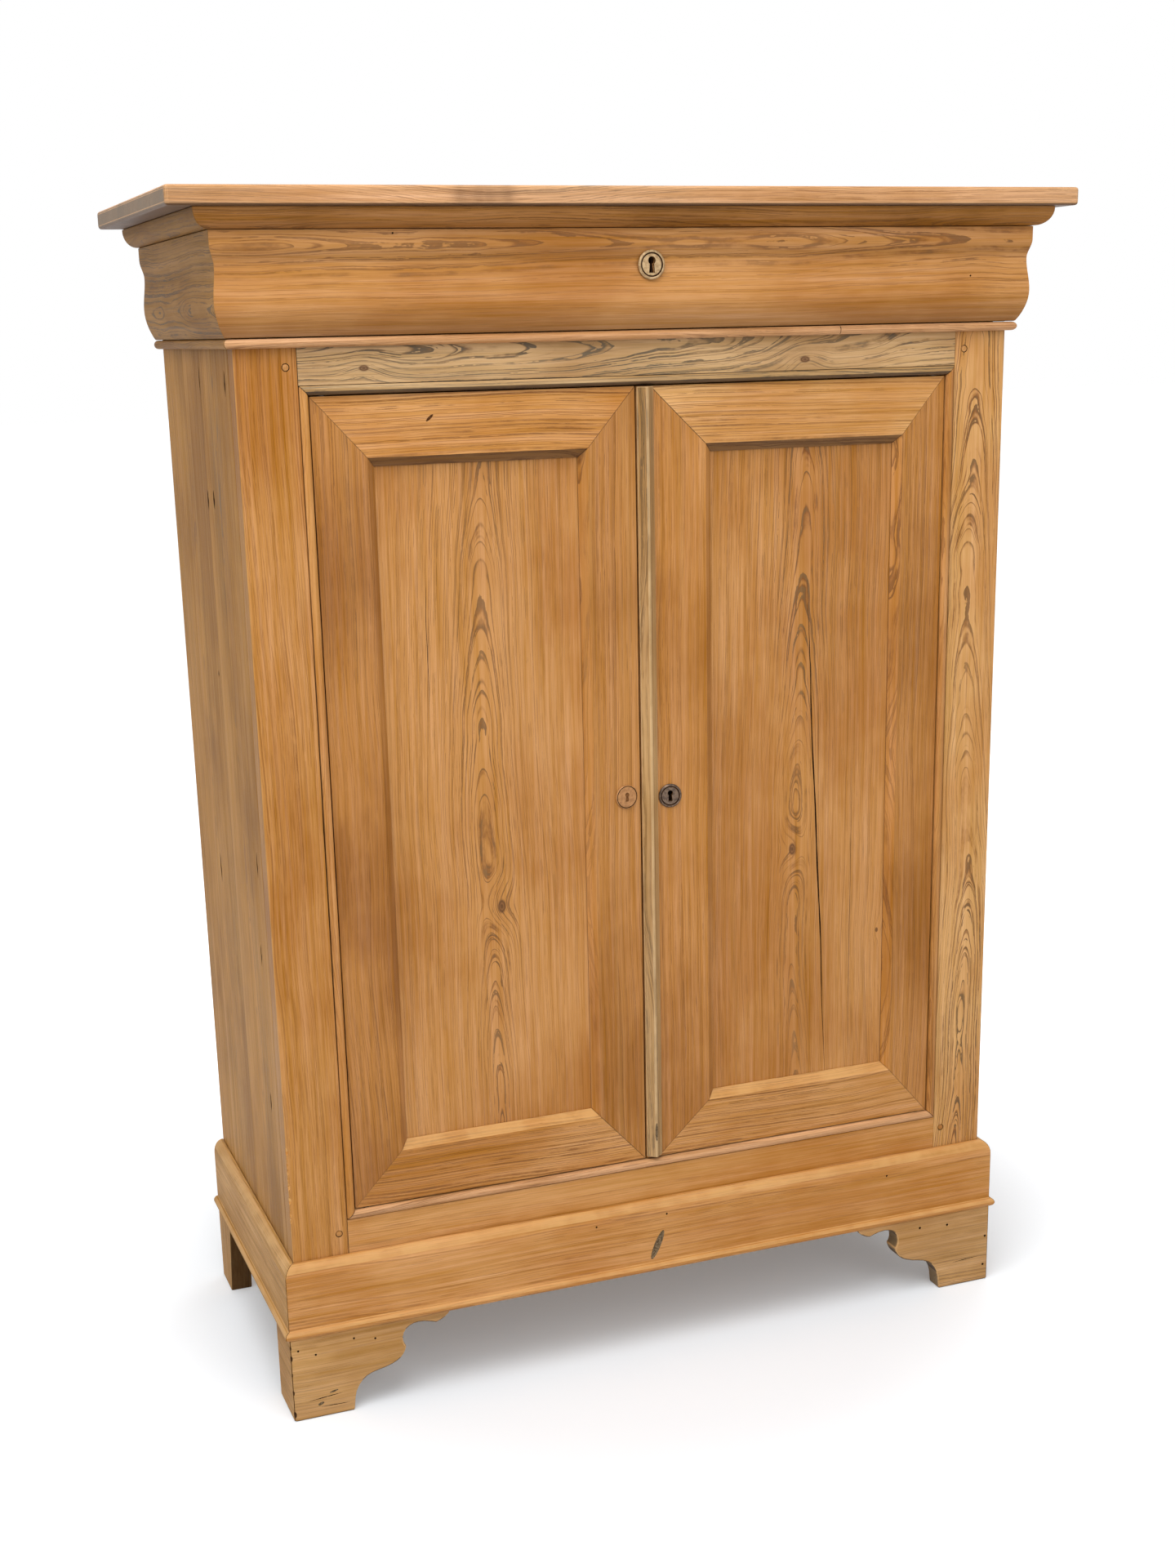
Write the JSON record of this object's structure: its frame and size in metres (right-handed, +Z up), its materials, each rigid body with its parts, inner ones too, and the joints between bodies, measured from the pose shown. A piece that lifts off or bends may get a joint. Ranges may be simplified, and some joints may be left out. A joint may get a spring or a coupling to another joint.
{
  "type": "buffet cabinet",
  "caption": "Free-standing pine cupboard with a moulded frieze drawer over hinged framed doors, a shelf inside, a moulded top, a plinth and scrolled bracket feet.",
  "frame": {"origin": "on the floor, midway across the cabinet's overall width and midway between its front and back", "axes": "+X to the right of someone facing the doors, +Y to the back, +Z up"},
  "size_m": [1.026, 0.446, 1.35],
  "materials": {
    "honey_pine": "old waxed pine, orange brown, satin",
    "grey_pine": "weathered waxed pine, grey brown, dull",
    "side_pine": "waxed pine, darker and greener, dull",
    "inner_pine": "bare pine, dull",
    "dark_bronze": "dark patinated bronze",
    "worn_brass": "worn, dull brass",
    "iron": "dark wrought iron"
  },
  "bodies": {
    "carcass": {"top_board": "honey_pine", "side_panel_left": "side_pine", "side_panel_right": "side_pine", "post_left": "honey_pine", "post_right": "honey_pine", "rail_top": "grey_pine", "rail_bottom": "honey_pine", "opening_bead_top": "grey_pine", "opening_bead_bottom": "honey_pine", "opening_bead_left": "honey_pine", "opening_bead_right": "honey_pine", "bed_moulding_front": "honey_pine", "bed_moulding_left": "honey_pine", "bed_moulding_right": "honey_pine", "frieze_return_left": "side_pine", "frieze_return_right": "side_pine", "astragal_front": "honey_pine", "astragal_left": "side_pine", "astragal_right": "side_pine", "plinth_front": "honey_pine", "plinth_left": "side_pine", "plinth_right": "side_pine", "foot_bracket_left": "honey_pine", "foot_bracket_right": "honey_pine", "foot_return_left": "side_pine", "foot_return_right": "side_pine", "foot_back_left": "side_pine", "foot_back_right": "side_pine", "bottom_board": "inner_pine", "shelf": "inner_pine", "dust_board": "inner_pine", "back_panel": "inner_pine"},
    "left_door": {"left_door_hinge_stile": "honey_pine", "left_door_meeting_stile": "honey_pine", "left_door_top_rail": "honey_pine", "left_door_bottom_rail": "honey_pine", "left_door_panel": "honey_pine", "left_door_pin_top": "iron", "left_door_pin_bottom": "iron", "left_door_keyhole_plate": "honey_pine"},
    "right_door": {"right_door_hinge_stile": "honey_pine", "right_door_meeting_stile": "honey_pine", "right_door_top_rail": "honey_pine", "right_door_bottom_rail": "honey_pine", "right_door_panel": "honey_pine", "right_door_pin_top": "iron", "right_door_pin_bottom": "iron", "right_door_keyhole_plate": "dark_bronze", "closing_strip": "grey_pine", "door_lock_case": "iron"},
    "drawer": {"drawer_front": "honey_pine", "drawer_side_left": "inner_pine", "drawer_side_right": "inner_pine", "drawer_back": "inner_pine", "drawer_bottom": "inner_pine", "drawer_keyhole_plate": "worn_brass", "drawer_lock_case": "iron"},
    "door_lock_bolt": {"door_lock_bolt": "iron"},
    "left_door_bolt": {"left_door_bolt": "iron"},
    "drawer_lock_bolt": {"drawer_lock_bolt": "iron"}
  },
  "joints": [
    {"name": "left_door_swing", "type": "hinge", "parent": "carcass", "child": "left_door", "pos_m": [-0.3593, -0.172, 0.6969], "axis": [0, 0, -1], "range_deg": [0, 110]},
    {"name": "right_door_swing", "type": "hinge", "parent": "carcass", "child": "right_door", "pos_m": [0.3593, -0.172, 0.6969], "axis": [0, 0, 1], "range_deg": [0, 110]},
    {"name": "drawer_pull", "type": "slide", "parent": "carcass", "child": "drawer", "axis": [0, -1, 0], "range_m": [0, 0.28]},
    {"name": "door_lock_throw", "type": "slide", "parent": "right_door", "child": "door_lock_bolt", "axis": [-1, 0, 0], "range_m": [0, 0.014]},
    {"name": "left_bolt_push", "type": "slide", "parent": "left_door", "child": "left_door_bolt", "axis": [0, 0, 1], "range_m": [0, 0.01]},
    {"name": "drawer_lock_throw", "type": "slide", "parent": "drawer", "child": "drawer_lock_bolt", "axis": [0, 0, 1], "range_m": [0, 0.01]}
  ]
}
